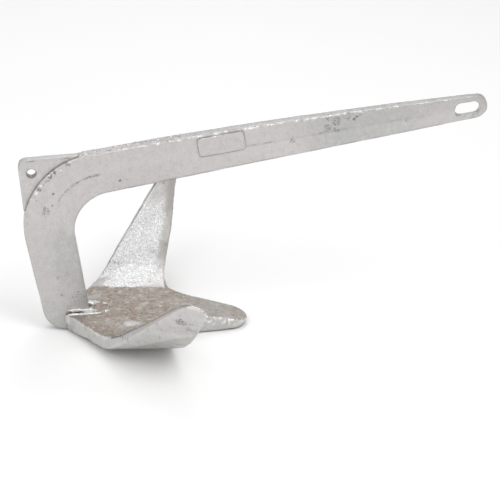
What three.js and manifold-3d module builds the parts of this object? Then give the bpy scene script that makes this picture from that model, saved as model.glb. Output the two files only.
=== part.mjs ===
// A galvanised claw anchor: a tapering shank that bends down into a leg, a flat palm with a centre
// fluke, and two upturned side flukes. Millimetres, +Z up. While it is drawn, x runs forward along the
// shank, y = 0 is the plane of symmetry and z = 0 is the ground. The last step moves the origin to the
// middle of the footprint.
//
// Everything but the small plate and beads is one casting in life. It is split here along its visible
// features, with a hair's gap at each joint.
import * as THREE from "three";
import { mergeVertices } from "three/addons/utils/BufferGeometryUtils.js";
import Module from "manifold-3d";

const wasm = await Module();
wasm.setup();

// ---- Driving dimensions ----

const JOINT_GAP = 0.3; // clearance where two features of the casting meet

// Shank, seen from the side: a straight underside, and a top edge that arches gently.
const UNDERSIDE_END = { x: 424.6, z: 251.2 };
const TOP_CROWN = { x: 178, z: 251.4 };
const TOP_END = { x: 420, z: 275.4 };
const BEND_CENTRE_OUTER = { x: -22.5, z: 127.6 };
const BEND_CENTRE_INNER = { x: -6.7, z: 123.1 };
const BEND_RADIUS_OUTER = 86;
const BEND_RADIUS_INNER = 45;
const BEND_END_OUTER = THREE.MathUtils.degToRad(100.4); // where the bend meets the arm's top edge
const BEND_END_INNER = THREE.MathUtils.degToRad(100.8);
const LEG_ANGLE_OUTER = THREE.MathUtils.degToRad(192.2); // where the bend meets the leg
const LEG_ANGLE_INNER = THREE.MathUtils.degToRad(191.2);
const HEEL_CENTRE = { x: -60, z: 28 };
const HEEL_RADIUS = 28;
const HEEL_STEPS = 6;
const ARM_STEPS = 12;
const BEND_STEPS = 12;
const LEG_FRONT_FOOT = { x: -35.5, z: 26 };
const LEG_FRONT_BOTTOM = { x: -30, z: 0 };

// Shank thickness, side to side. The sides are drafted both ways from a parting line at mid depth.
const LEG_HALF_WIDTH = 10.4;
const BEND_HALF_WIDTH = 9.8;
const EYE_HALF_WIDTH = 5.6;
const DRAFT = 1.3;

// Shackle eye at the end of the arm.
const EYE_START_X = 366;
const EYE_END_X = 411;
const EYE_CORNER_RADIUS = 12.5;
const EYE_EDGE_BEVEL = 1.2;
const SLOT_CENTRE = { x: 388.6, z: 257.6 };
const SLOT_LENGTH = 29;
const SLOT_HEIGHT = 15;
const SLOT_TILT = THREE.MathUtils.degToRad(8.8);

// Trip-line web outside the bend.
const WEB_HALF_WIDTH = 5;
const WEB_CORNER = { x: -115.2, z: 206.6 };
const WEB_CORNER_RADIUS = 8;
const WEB_FOOT = { x: -108.6, z: 146 };
const WEB_HEAD = { x: -47, z: 211.4 };
const HOLE_SIDES = 32;
const TRIP_HOLE = { x: -99.3, z: 191.4, radius: 5 };

// Weight plate on the side of the arm: a thin raised panel, left blank.
const PLATE_CENTRE = { x: 111.4, z: 223.2 };
const PLATE_LENGTH = 52;
const PLATE_HEIGHT = 21;
const PLATE_CORNER_RADIUS = 4.5;
const PLATE_THICKNESS = 1.2;
const PLATE_TILT = THREE.MathUtils.degToRad(9.6);
const PLATE_LIFT = 0.55; // keeps the plate's lower edge clear of the parting line

// Palm and side fluke, one half: a row of stations from the middle of the palm out to the fluke's tip.
// Each has a point on the upper rear edge, one on the upper front edge, and the plate's thickness there.
// The rear edge turns up in a tight bend and the front edge in a wide one.
const PALM_STATIONS = [
  { rear: [-62, 0, 20.5], front: [66, 0, 25], thickness: [19, 24.8] },
  { rear: [-62, 10, 20.5], front: [66, 18, 25], thickness: [18.5, 24.8] },
  { rear: [-55.3, 22, 20.5], front: [66, 34.5, 25], thickness: [17.7, 24.8] },
  { rear: [-47, 35, 20.4], front: [60.5, 43, 25.1], thickness: [16.3, 24.4] },
  { rear: [-39.9, 46.5, 20.3], front: [58, 55, 25.6], thickness: [15, 22.4] },
  { rear: [-33.5, 58, 20.2], front: [57.5, 70, 27.2], thickness: [14.4, 18.8] },
  { rear: [-27, 69, 20.6], front: [59.2, 90, 30], thickness: [14.2, 15.6] },
];
const FLUKE_STATIONS = [
  { rear: [-20, 79, 23], front: [62, 103, 34], thickness: [14, 13.6] },
  { rear: [-12, 89, 30], front: [65.3, 115, 40], thickness: [13, 12.4] },
  { rear: [-3.5, 100, 39], front: [69, 130, 49], thickness: [11.5, 11] },
  { rear: [12.9, 120, 56.5], front: [73.4, 147, 62.5], thickness: [9.5, 9] },
  { rear: [30.4, 140, 76], front: [76.4, 161, 76], thickness: [8, 7.5] },
  { rear: [47.2, 160, 95], front: [79, 173, 89.5], thickness: [6.6, 6.4] },
  { rear: [54, 168, 102.6], front: [80, 177.5, 96.5], thickness: [6, 6] },
  { rear: [60, 174, 107], front: [77, 181, 103], thickness: [5.4, 5.4] },
];

// Centre fluke: half width, and the upper and lower faces, at stations along x.
const CENTRE_FLUKE_STATIONS = [
  { x: 66, half: 35.5, top: 25, bottom: 0 },
  { x: 73, half: 29.6, top: 24.2, bottom: 0 },
  { x: 84, half: 26.2, top: 22.1, bottom: 0 },
  { x: 106.5, half: 22.8, top: 17, bottom: 0 },
  { x: 129.5, half: 19.5, top: 11.8, bottom: 0.8 },
  { x: 137, half: 16.4, top: 10, bottom: 1.8 },
  { x: 143, half: 11, top: 8.4, bottom: 2.8 },
  { x: 146.5, half: 4.5, top: 7, bottom: 3.8 },
];
const CENTRE_FLUKE_FLARE = 3.5; // how far the lower edges stand out beyond the upper ones
const FLARE_FULL_HALF = 20; // the flare shrinks where the fluke's half width is less than this
const LOWER_CHAMFER = { width: 4, height: 1.5 };

// Beads of metal in the corner between each side of the leg and the palm.
const BEAD_RADIUS = 3.6;
const BEAD_BACK_X = -56;
const BEAD_FRONT_X = -20;
const BEAD_END_SIZE = 0.55; // share of the full radius
const BEAD_STEPS = 6;
const BEAD_ARC_STEPS = 4;

// ---- Materials ----

const GALVANISED = { roughness: 0.5, metalness: 0.75 };
const SHANK_ZINC = new THREE.MeshStandardMaterial({ color: 0xc9c7c4, ...GALVANISED });
const CLAW_ZINC = new THREE.MeshStandardMaterial({ color: 0xb9b5ae, ...GALVANISED });
const BEAD_ZINC = new THREE.MeshStandardMaterial({ color: 0xd6d5d2, ...GALVANISED });

// ---- Helpers ----

const lerp = THREE.MathUtils.lerp;

// The volume that an indexed geometry encloses, negative when its faces point inwards.
function enclosedVolume(positions, faces) {
  let sum = 0;
  for (let i = 0; i < faces.length; i += 3) {
    const [a, b, c] = [0, 1, 2].map((k) => positions[faces[i + k]]);
    sum += a.dot(new THREE.Vector3().crossVectors(b, c)) / 6;
  }
  return sum;
}

// A closed solid through a row of rings, each the same number of points in order round a section.
// Flat caps close the first and the last ring.
function loft(rings) {
  const count = rings[0].length;
  const positions = rings.flat();
  const faces = [];
  for (let ring = 0; ring + 1 < rings.length; ring += 1) {
    for (let i = 0; i < count; i += 1) {
      const here = ring * count + i;
      const next = ring * count + ((i + 1) % count);
      faces.push(here, next, next + count);
      faces.push(here, next + count, here + count);
    }
  }
  const last = (rings.length - 1) * count;
  for (let i = 1; i + 1 < count; i += 1) {
    faces.push(0, i + 1, i);
    faces.push(last, last + i, last + i + 1);
  }
  if (enclosedVolume(positions, faces) < 0) {
    faces.reverse();
  }
  return new THREE.BufferGeometry().setFromPoints(positions).setIndex(faces);
}

// An outline drawn in x and z, made into a plate that is centred on y = 0.
function sidePlate(outline, halfWidth, bevel = 0) {
  const geometry = new THREE.ExtrudeGeometry(outline, {
    depth: 2 * (halfWidth - bevel),
    bevelEnabled: bevel > 0,
    bevelThickness: bevel,
    bevelSize: bevel,
    bevelOffset: -bevel,
    bevelSegments: 2,
    curveSegments: 16,
  });
  geometry.translate(0, 0, bevel - halfWidth);
  return geometry.rotateX(Math.PI / 2);
}

function toSolid(geometry) {
  const bare = geometry.clone();
  bare.deleteAttribute("normal");
  bare.deleteAttribute("uv");
  const merged = mergeVertices(bare, 1e-4);
  return new wasm.Manifold(
    new wasm.Mesh({
      numProp: 3,
      vertProperties: merged.attributes.position.array,
      triVerts: new Uint32Array(merged.index.array),
    }),
  );
}

function toGeometry(solid) {
  const { vertProperties, triVerts } = solid.getMesh();
  const geometry = new THREE.BufferGeometry();
  geometry.setAttribute("position", new THREE.BufferAttribute(vertProperties, 3));
  geometry.setIndex(new THREE.BufferAttribute(triVerts, 1));
  geometry.computeVertexNormals();
  return geometry;
}

function named(name, geometry, material) {
  const mesh = new THREE.Mesh(geometry, material);
  mesh.name = name;
  return mesh;
}

// The same geometry on the other side of the plane of symmetry.
function mirrored(geometry) {
  const copy = geometry.clone();
  const position = copy.attributes.position;
  for (let i = 0; i < position.count; i += 1) {
    position.setY(i, -position.getY(i));
  }
  copy.setIndex([...copy.index.array].reverse());
  copy.computeVertexNormals();
  return copy;
}

// A rectangle with round corners, centred on the origin.
function roundedRectangle(length, height, radius) {
  const [x, y] = [length / 2, height / 2];
  const shape = new THREE.Shape();
  shape.absarc(x - radius, y - radius, radius, 0, Math.PI / 2);
  shape.absarc(radius - x, y - radius, radius, Math.PI / 2, Math.PI);
  shape.absarc(radius - x, radius - y, radius, Math.PI, 1.5 * Math.PI);
  shape.absarc(x - radius, radius - y, radius, 1.5 * Math.PI, 2 * Math.PI);
  return shape;
}

// A slot with round ends, centred on the origin.
function slotOutline(length, height) {
  const radius = height / 2;
  const shape = new THREE.Shape();
  shape.absarc(length / 2 - radius, 0, radius, -Math.PI / 2, Math.PI / 2);
  shape.absarc(radius - length / 2, 0, radius, Math.PI / 2, 1.5 * Math.PI);
  return shape;
}

// ---- Shank ----

// One section of the shank: a hexagon that is widest at mid depth.
function shankRing({ outer, inner, half }, clearance = 0) {
  const middle = { x: (outer.x + inner.x) / 2, z: (outer.z + inner.z) / 2 };
  const wide = half + clearance;
  const narrow = wide - DRAFT;
  const reach = new THREE.Vector2(outer.x - inner.x, outer.z - inner.z).normalize();
  reach.multiplyScalar(clearance);
  const top = { x: outer.x + reach.x, z: outer.z + reach.y };
  const bottom = { x: inner.x - reach.x, z: inner.z - reach.y };
  return [
    new THREE.Vector3(top.x, -narrow, top.z),
    new THREE.Vector3(top.x, narrow, top.z),
    new THREE.Vector3(middle.x, wide, middle.z),
    new THREE.Vector3(bottom.x, narrow, bottom.z),
    new THREE.Vector3(bottom.x, -narrow, bottom.z),
    new THREE.Vector3(middle.x, -wide, middle.z),
  ];
}

function onCircle(centre, radius, angle) {
  return { x: centre.x + radius * Math.cos(angle), z: centre.z + radius * Math.sin(angle) };
}

const topStart = onCircle(BEND_CENTRE_OUTER, BEND_RADIUS_OUTER, BEND_END_OUTER);
const undersideStart = onCircle(BEND_CENTRE_INNER, BEND_RADIUS_INNER, BEND_END_INNER);

const topEdge = new THREE.QuadraticBezierCurve(
  new THREE.Vector2(topStart.x, topStart.z),
  new THREE.Vector2(TOP_CROWN.x, TOP_CROWN.z),
  new THREE.Vector2(TOP_END.x, TOP_END.z),
);

const topHeight = (x) => topEdge.getPoint((x - topStart.x) / (TOP_END.x - topStart.x)).y;

function undersideHeight(x) {
  const share = (x - undersideStart.x) / (UNDERSIDE_END.x - undersideStart.x);
  return lerp(undersideStart.z, UNDERSIDE_END.z, share);
}

function armStation(t) {
  const top = topEdge.getPoint(t);
  const x = lerp(undersideStart.x, UNDERSIDE_END.x, t);
  return {
    outer: { x: top.x, z: top.y },
    inner: { x, z: undersideHeight(x) },
    half: lerp(BEND_HALF_WIDTH, EYE_HALF_WIDTH, t),
  };
}

function bendStation(t) {
  const outerAngle = lerp(BEND_END_OUTER, LEG_ANGLE_OUTER, t);
  const innerAngle = lerp(BEND_END_INNER, LEG_ANGLE_INNER, t);
  return {
    outer: onCircle(BEND_CENTRE_OUTER, BEND_RADIUS_OUTER, outerAngle),
    inner: onCircle(BEND_CENTRE_INNER, BEND_RADIUS_INNER, innerAngle),
    half: lerp(BEND_HALF_WIDTH, LEG_HALF_WIDTH, t),
  };
}

const legTop = bendStation(1);
const heelStart = onCircle(HEEL_CENTRE, HEEL_RADIUS, LEG_ANGLE_OUTER);

function legStation(t) {
  return {
    outer: { x: lerp(legTop.outer.x, heelStart.x, t), z: lerp(legTop.outer.z, heelStart.z, t) },
    inner: {
      x: lerp(legTop.inner.x, LEG_FRONT_FOOT.x, t),
      z: lerp(legTop.inner.z, LEG_FRONT_FOOT.z, t),
    },
    half: LEG_HALF_WIDTH,
  };
}

function heelStation(t) {
  return {
    outer: onCircle(HEEL_CENTRE, HEEL_RADIUS, lerp(LEG_ANGLE_OUTER, 1.5 * Math.PI, t)),
    inner: {
      x: lerp(LEG_FRONT_FOOT.x, LEG_FRONT_BOTTOM.x, t),
      z: lerp(LEG_FRONT_FOOT.z, LEG_FRONT_BOTTOM.z, t),
    },
    half: LEG_HALF_WIDTH,
  };
}

// Rings at equal steps of one stretch of the shank.
function stretch(station, from, to, steps, clearance = 0) {
  const rings = [];
  for (let i = 0; i <= steps; i += 1) {
    rings.push(shankRing(station(lerp(from, to, i / steps)), clearance));
  }
  return rings;
}

function legRings(clearance = 0) {
  return [
    ...stretch(legStation, 0, 1, 1, clearance),
    ...stretch(heelStation, 0, 1, HEEL_STEPS, clearance).slice(1),
  ];
}

// The arm is cut off square where the shackle eye begins.
function buildArm() {
  const start = JOINT_GAP / (TOP_END.x - topStart.x);
  const blank = toSolid(loft(stretch(armStation, start, 1, ARM_STEPS)));
  const size = 100;
  const beyond = new THREE.BoxGeometry(size, size, size);
  beyond.translate(EYE_START_X - JOINT_GAP + size / 2, 0, SLOT_CENTRE.z);
  return toGeometry(blank.subtract(toSolid(beyond)));
}

function buildBend() {
  const innerLength = BEND_RADIUS_INNER * (LEG_ANGLE_INNER - BEND_END_INNER);
  return loft(stretch(bendStation, 0, 1 - JOINT_GAP / innerLength, BEND_STEPS));
}

function buildEye() {
  const r = EYE_CORNER_RADIUS;
  const tilt = SLOT_TILT;
  const tail = EYE_END_X - r;
  const outline = new THREE.Shape();
  outline.absarc(tail, undersideHeight(tail) + r / Math.cos(tilt), r, tilt - Math.PI / 2, tilt);
  outline.absarc(tail, topHeight(tail) - r / Math.cos(tilt), r, tilt, tilt + Math.PI / 2);
  outline.lineTo(EYE_START_X, topHeight(EYE_START_X));
  outline.lineTo(EYE_START_X, undersideHeight(EYE_START_X));
  const cutter = sidePlate(slotOutline(SLOT_LENGTH, SLOT_HEIGHT), 2 * EYE_HALF_WIDTH);
  cutter.rotateY(-tilt).translate(SLOT_CENTRE.x, 0, SLOT_CENTRE.z);
  const plate = toSolid(sidePlate(outline, EYE_HALF_WIDTH, EYE_EDGE_BEVEL));
  return toGeometry(plate.subtract(toSolid(cutter)));
}

// The point at a distance from one point towards another.
function towards(from, to, distance) {
  const step = new THREE.Vector2(to.x - from.x, to.z - from.z).setLength(distance);
  return { x: from.x + step.x, z: from.z + step.y };
}

function buildWeb() {
  const reach = BEND_RADIUS_OUTER + JOINT_GAP;
  const { x, z } = BEND_CENTRE_OUTER;
  const footAngle = Math.PI - Math.asin((WEB_FOOT.z - z) / reach);
  const headAngle = Math.acos((WEB_HEAD.x - x) / reach);
  const cornerStart = towards(WEB_CORNER, WEB_FOOT, WEB_CORNER_RADIUS);
  const cornerEnd = towards(WEB_CORNER, WEB_HEAD, WEB_CORNER_RADIUS);
  const outline = new THREE.Shape();
  outline.absarc(x, z, reach, headAngle, footAngle);
  outline.lineTo(cornerStart.x, cornerStart.z);
  outline.quadraticCurveTo(WEB_CORNER.x, WEB_CORNER.z, cornerEnd.x, cornerEnd.z);
  const plate = toSolid(sidePlate(outline, WEB_HALF_WIDTH));
  const { radius } = TRIP_HOLE;
  const drill = new THREE.CylinderGeometry(radius, radius, 4 * WEB_HALF_WIDTH, HOLE_SIDES);
  drill.translate(TRIP_HOLE.x, 0, TRIP_HOLE.z);
  return toGeometry(plate.subtract(toSolid(drill)));
}

// The plate lies on the drafted upper half of the arm's right side, a hair clear of it.
function buildWeightPlate() {
  const outline = roundedRectangle(PLATE_LENGTH, PLATE_HEIGHT, PLATE_CORNER_RADIUS);
  const plate = sidePlate(outline, PLATE_THICKNESS / 2).rotateY(-PLATE_TILT);
  const station = armStation((PLATE_CENTRE.x - topStart.x) / (TOP_END.x - topStart.x));
  const depth = station.outer.z - station.inner.z;
  const lean = Math.atan2(DRAFT, depth / 2);
  const side = station.half - DRAFT / 2 + PLATE_THICKNESS / 2 + PLATE_LIFT;
  return plate.rotateX(-lean).translate(PLATE_CENTRE.x, -side, PLATE_CENTRE.z);
}

// ---- Claw ----

// The four corners of the plate at each station. The lower two lie square below the upper surface,
// but never forward of it.
function plateRings(stations) {
  const rears = stations.map(({ rear }) => new THREE.Vector3(...rear));
  const fronts = stations.map(({ front }) => new THREE.Vector3(...front));
  const last = stations.length - 1;
  return stations.map(({ thickness }, i) => {
    const chord = fronts[i].clone().sub(rears[i]);
    const before = Math.max(i - 1, 0);
    const after = Math.min(i + 1, last);
    const outwards = rears[after].clone().add(fronts[after]).sub(rears[before]).sub(fronts[before]);
    const down = outwards.cross(chord);
    down.setX(Math.min(down.x, 0)).normalize();
    return [
      rears[i],
      fronts[i],
      fronts[i].clone().addScaledVector(down, thickness[1]),
      rears[i].clone().addScaledVector(down, thickness[0]),
    ];
  });
}

function mirrorRing(ring) {
  return ring.map((p) => new THREE.Vector3(p.x, -p.y, p.z));
}

const plate = plateRings([...PALM_STATIONS, ...FLUKE_STATIONS]);
const foldIndex = PALM_STATIONS.length - 1;

function buildPalm() {
  const half = plate.slice(0, foldIndex + 1);
  const otherHalf = half.slice(1).reverse().map(mirrorRing);
  const blank = toSolid(loft([...otherHalf, ...half]));
  const socket = legRings(JOINT_GAP);
  socket.push(socket.at(-1).map((p) => p.clone().setZ(-JOINT_GAP)));
  return toGeometry(blank.subtract(toSolid(loft(socket))));
}

// The height of the palm's upper surface in the plane of symmetry.
function palmHeight(x) {
  const [{ rear, front }] = PALM_STATIONS;
  return lerp(rear[2], front[2], (x - rear[0]) / (front[0] - rear[0]));
}

// A quarter-round bead that tapers at both ends.
function buildFootBead() {
  const side = LEG_HALF_WIDTH + JOINT_GAP;
  const rings = [];
  for (let step = 0; step <= BEAD_STEPS; step += 1) {
    const share = step / BEAD_STEPS;
    const x = lerp(BEAD_BACK_X, BEAD_FRONT_X, share);
    const size = BEAD_RADIUS * lerp(BEAD_END_SIZE, 1, Math.sin(Math.PI * share));
    const floor = palmHeight(x) + JOINT_GAP;
    const ring = [new THREE.Vector3(x, side, floor)];
    for (let i = 0; i <= BEAD_ARC_STEPS; i += 1) {
      const angle = (Math.PI / 2) * (i / BEAD_ARC_STEPS);
      const [across, up] = [size * Math.cos(angle), size * Math.sin(angle)];
      ring.push(new THREE.Vector3(x, side + across, floor + up));
    }
    rings.push(ring);
  }
  return loft(rings);
}

// The fluke starts a gap's width beyond the palm's last station.
function buildSideFluke() {
  const [fold, next] = [plate[foldIndex], plate[foldIndex + 1]];
  const start = fold.map((p, i) => p.clone().lerp(next[i], JOINT_GAP / p.distanceTo(next[i])));
  return loft([start, ...plate.slice(foldIndex + 1)]);
}

// The section is a flat top, flared sides, and a flat bottom with chamfered edges.
function centreFlukeRing({ x, half, top, bottom }) {
  const wide = half + CENTRE_FLUKE_FLARE * Math.min(1, half / FLARE_FULL_HALF);
  const { width, height } = LOWER_CHAMFER;
  return [
    new THREE.Vector3(x, -half, top),
    new THREE.Vector3(x, half, top),
    new THREE.Vector3(x, wide, bottom + height),
    new THREE.Vector3(x, wide - width, bottom),
    new THREE.Vector3(x, width - wide, bottom),
    new THREE.Vector3(x, -wide, bottom + height),
  ];
}

function buildCentreFluke() {
  const rings = CENTRE_FLUKE_STATIONS.map(centreFlukeRing);
  rings[0].forEach((p) => p.setX(p.x + JOINT_GAP));
  return loft(rings);
}

// ---- Assembly ----

const anchor = new THREE.Group();
anchor.add(named("shank_arm", buildArm(), SHANK_ZINC));
anchor.add(named("shackle_eye", buildEye(), SHANK_ZINC));
anchor.add(named("shank_bend", buildBend(), SHANK_ZINC));
anchor.add(named("shank_leg", loft(legRings()), SHANK_ZINC));
anchor.add(named("trip_line_web", buildWeb(), SHANK_ZINC));
anchor.add(named("weight_plate", buildWeightPlate(), SHANK_ZINC));
anchor.add(named("palm", buildPalm(), CLAW_ZINC));
anchor.add(named("centre_fluke", buildCentreFluke(), CLAW_ZINC));
const leftFluke = buildSideFluke();
anchor.add(named("side_fluke_left", leftFluke, CLAW_ZINC));
anchor.add(named("side_fluke_right", mirrored(leftFluke), CLAW_ZINC));
const leftBead = buildFootBead();
anchor.add(named("foot_bead_left", leftBead, BEAD_ZINC));
anchor.add(named("foot_bead_right", mirrored(leftBead), BEAD_ZINC));

// The origin goes to the middle of the footprint, on the ground.
const box = new THREE.Box3().setFromObject(anchor);
const origin = box.getCenter(new THREE.Vector3()).setZ(box.min.z);
anchor.children.forEach((mesh) => mesh.position.sub(origin));

export default anchor;
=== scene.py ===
"""A galvanised claw anchor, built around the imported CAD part.

The shapes are drawn in millimetres in the drawing frame: x runs forward along the shank, y = 0 is the
plane of symmetry and z = 0 is the ground. Each finished mesh is then moved into the CAD part's frame, in
metres. Every solid is drawn coarse, fused and evened out into a dense skin, and given a casting's soft
edges and uneven surface.
"""
import math

import bmesh
import bpy
import numpy as np
from mathutils import Matrix, Vector, noise


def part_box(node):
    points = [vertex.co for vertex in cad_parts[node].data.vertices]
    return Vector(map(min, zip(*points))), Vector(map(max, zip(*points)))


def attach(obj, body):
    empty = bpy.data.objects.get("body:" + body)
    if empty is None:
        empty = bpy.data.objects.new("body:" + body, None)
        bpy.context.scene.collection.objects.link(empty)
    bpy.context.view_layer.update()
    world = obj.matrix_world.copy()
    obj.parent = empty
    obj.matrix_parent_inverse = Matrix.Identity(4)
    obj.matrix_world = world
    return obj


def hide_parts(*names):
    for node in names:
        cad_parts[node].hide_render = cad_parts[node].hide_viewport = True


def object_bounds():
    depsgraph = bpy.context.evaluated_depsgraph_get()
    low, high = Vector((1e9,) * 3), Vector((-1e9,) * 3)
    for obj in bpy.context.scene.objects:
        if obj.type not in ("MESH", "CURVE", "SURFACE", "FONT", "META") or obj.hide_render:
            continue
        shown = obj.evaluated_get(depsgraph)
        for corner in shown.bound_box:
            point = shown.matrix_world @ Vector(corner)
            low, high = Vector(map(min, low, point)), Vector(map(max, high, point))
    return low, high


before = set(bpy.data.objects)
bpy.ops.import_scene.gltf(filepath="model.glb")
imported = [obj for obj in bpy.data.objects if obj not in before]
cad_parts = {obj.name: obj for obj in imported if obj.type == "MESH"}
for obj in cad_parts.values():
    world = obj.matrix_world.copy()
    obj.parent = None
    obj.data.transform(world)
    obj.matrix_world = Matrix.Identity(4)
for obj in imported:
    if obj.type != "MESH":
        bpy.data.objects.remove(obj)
cad_low, cad_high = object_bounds()

MM = 0.001
EYE_END_X = 411.0
SHIFT = Vector((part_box("shackle_eye")[1].x / MM - EYE_END_X, 0.0, 0.0))

# ---- Driving dimensions, in the drawing frame ----

UNDERSIDE_END = (424.6, 251.2)
TOP_CROWN = (178.0, 251.4)
TOP_END = (420.0, 275.4)
BEND_CENTRE_OUTER = (-22.5, 127.6)
BEND_CENTRE_INNER = (-6.7, 123.1)
BEND_RADIUS_OUTER = 86.0
BEND_RADIUS_INNER = 45.0
BEND_END_OUTER = math.radians(100.4)
BEND_END_INNER = math.radians(100.8)
LEG_ANGLE_OUTER = math.radians(192.2)
LEG_ANGLE_INNER = math.radians(191.2)
HEEL_CENTRE = (-60.0, 28.0)
HEEL_RADIUS = 28.0
LEG_FRONT_FOOT = (-35.5, 26.0)
LEG_FRONT_BOTTOM = (-30.0, 0.4)
LEG_HALF = 10.4
BEND_HALF = 9.8
EYE_HALF = 5.6
CHEEK_EASE = (335.0, 385.0)  # where the arm eases into the eye's flat cheeks
DRAFT = 1.3
EYE_CORNER = 12.5
SLOT_CENTRE = (388.6, 257.6)
SLOT_LENGTH = 29.0
SLOT_HEIGHT = 15.0
SLOT_TILT = math.radians(8.8)
SEAM_HEIGHT = 0.35
SEAM_FLOOR = (150.0, 168.0)  # the parting line shows above these heights
SEAM_WANDER = 0.9
FLAKE_HEIGHT = 0.3
TOP_SHADE = 0.34  # how much darker the arm's top is than its sides
SIDE_SHADE = 0.07  # how much darker the leg and the outer arm are

# Where a mark on the shank comes in or goes out: where there is none of it, and where it is full.
LOW_LINE_START = (-10.0, 10.0)
GLINT_START = (-20.0, 40.0)
GLINT_DIMS = (120.0, 220.0)
GLINT_END = (404.0, 392.0)
TOP_SHADE_START = (-30.0, 50.0)
ARM_SHADE_START = (150.0, 250.0)
LEG_SHADE_START = (150.0, 60.0)  # this one in z, down the leg
EYE_RIM_START = (366.0, 374.0)
FLAKES_START = (-70.0, -40.0)
FLAKES_END = (110.0, 60.0)
LIGHT_TONE_END = (170.0, 60.0)
DARK_TONE_START = (150.0, 90.0)  # in z, down the leg
CHIPS_END = -50.0
CHIPS_FLOOR = 160.0

WEB_HALF = 5.0
WEB_CORNER = (-115.2, 206.6)
WEB_FOOT = (-108.6, 146.0)
WEB_HEAD = (-47.0, 211.4)
WEB_CORNER_RADIUS = 11.5
WEB_OVERLAP = 4.0  # how far the web runs into the bend
# The dark line beside the web's top edge is painted shade.
WEB_LINE_DROP = 1.8  # from the web's top edge down to the dark line beside it
WEB_LINE_START = -106.0
WEB_RIM_END = -100.0
WEB_DROSS_START = (-100.0, -112.0)
CORNER_STEPS = 8
TRIP_HOLE = (-99.3, 191.4)
TRIP_HOLE_RADIUS = 5.0

PLATE_CENTRE = (111.4, 223.2)
PLATE_SIZE = (52.0, 21.0)
PLATE_CORNER = 3.5
PLATE_TILT = math.radians(9.6)
PLATE_LEAN = math.radians(3.2)  # the plate follows the drafted side of the arm
PLATE_HALF = 0.9
PLATE_INSET = 1.9  # from the CAD plate's outermost point to the middle of this one
GROOVE_DEPTH = 0.3

# Claw stations from the middle of the palm to a fluke's tip: a point on the upper rear edge, one on
# the upper front edge, and the thickness at each.
CLAW_STATIONS = [
    ((-62, 0, 20.5), (66, 0, 25), (19, 24.8)),
    ((-62, 10, 20.5), (66, 18, 25), (18.5, 24.8)),
    ((-55.3, 22, 20.5), (66, 34.5, 25), (17.7, 24.8)),
    ((-47, 35, 20.4), (60.5, 43, 25.1), (16.3, 24.4)),
    ((-39.9, 46.5, 20.3), (58, 55, 25.6), (15, 22.4)),
    ((-33.5, 58, 20.2), (57.5, 70, 27.2), (14.4, 18.8)),
    ((-27, 69, 20.6), (59.2, 90, 30), (13.6, 15.6)),
    ((-20, 79, 23), (62, 103, 34), (13, 13.6)),
    ((-12, 89, 29.6), (65.3, 115, 40), (12.4, 12.4)),
    ((-3.5, 100, 38), (69, 130, 49), (11.5, 11)),
    ((12.9, 120, 56.5), (73.4, 147, 62.5), (9.5, 9)),
    ((30.4, 140, 76), (76.4, 161, 76), (8, 7.5)),
    ((47.2, 160, 95), (79, 173, 89.5), (6.6, 6.4)),
    ((54, 168, 102.6), (80, 177.5, 96.5), (6, 6)),
    ((60, 174, 107), (77, 181, 103), (5.4, 5.4)),
]
# The left fluke's tip is a little fuller than the right one's.
LEFT_TIP = ((61, 175.5, 110), (83, 184, 107), (5.4, 5.4))
# The outer face of a side fluke has a soft ridge, which crosses from the rear edge to the front edge:
# the station number it passes, and how far across from the rear edge it is there.
RIDGE_PATH = [(7.6, 0.02), (8.1, 0.13), (9.0, 0.26), (9.5, 0.45), (10.0, 0.72), (10.25, 0.98)]
RIDGE_HEIGHT = 3.2
# How far the upper surface swells above the straight line from rear to front edge, by station number.
SWELL = [(3.5, 0), (4, -0.4), (5, 1.6), (6, 3.6), (7, 3.6), (8, 2.2), (9, 1.2), (11, 0.8), (13, 0.2)]
SWELL_POINTS = 5
# Along the upper rear edge, a painted highlight on the lip starts at one station number and a painted dark
# line of shade at the other.
LIP_START = 2.0
EDGE_LINE_START = 7.6
# The painted glint across a side fluke's tip.
TIP_GLINT = [(64, 176, 106), (70, 178.5, 104), (75, 181, 100), (77, 182, 97)]
STEPS = 10  # rings between two claw stations
# The scoured part of the palm: its half width on each side, how the left one tapers with x, the half
# width from NOTCH_X on, and the heights at which the scouring and its patches go out.
SCOURED_LEFT = 54.0
SCOURED_TAPER = 0.2
SCOURED_RIGHT = 82.0
NOTCH_X = 55.0
NOTCH_WIDTH = 60.0
SCOURED_TOP = (34.0, 29.0)
PATCHES_TOP = (40.0, 32.0)
SCOURING_FADES = (55.0, 95.0)  # in x, along the centre fluke
# The inner faces of the side flukes: the front strip's width and its start in z, and the sparkle's
# start and end in z and its start in y.
STRIP_WIDTH = (14.0, 6.0)
STRIP_START = (24.0, 40.0)
SPARKLE_START = (19.5, 21.5)
SPARKLE_END = (94.0, 78.0)
SPARKLE_FROM_Y = 50.0
# The painted highlight on the centre fluke's rim and the painted shade on its sides, in x, and the height
# below which the sides are shaded.
RIM_HIGHLIGHT_START = (72.0, 90.0)
SHADED_SIDES_START = (68.0, 80.0)
SHADED_SIDES_TOP = (30.0, 20.0)
SHADED_REAR_END = (100.0, 80.0)  # in y, along the side flukes' rear faces
# Centre fluke: x, half width, upper face, lower face.
CENTRE_STATIONS = [
    (40, 40, 23.4, 0.6),
    (58, 42, 24.3, 0.3),
    (66, 35.5, 25, 0.2),
    (73, 29.6, 24.2, 0.2),
    (84, 26.2, 22.1, 0.2),
    (106.5, 22.8, 17, 0.2),
    (129.5, 19.5, 11.8, 0.8),
    (137, 16.4, 10, 1.8),
    (143, 11, 8.4, 2.8),
    (146.2, 4.5, 7, 3.8),
]
CENTRE_FLARE = 3.5
CENTRE_CHAMFER = (4.0, 1.5)  # across and up, along the lower edges
CENTRE_STEPS = 6

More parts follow.
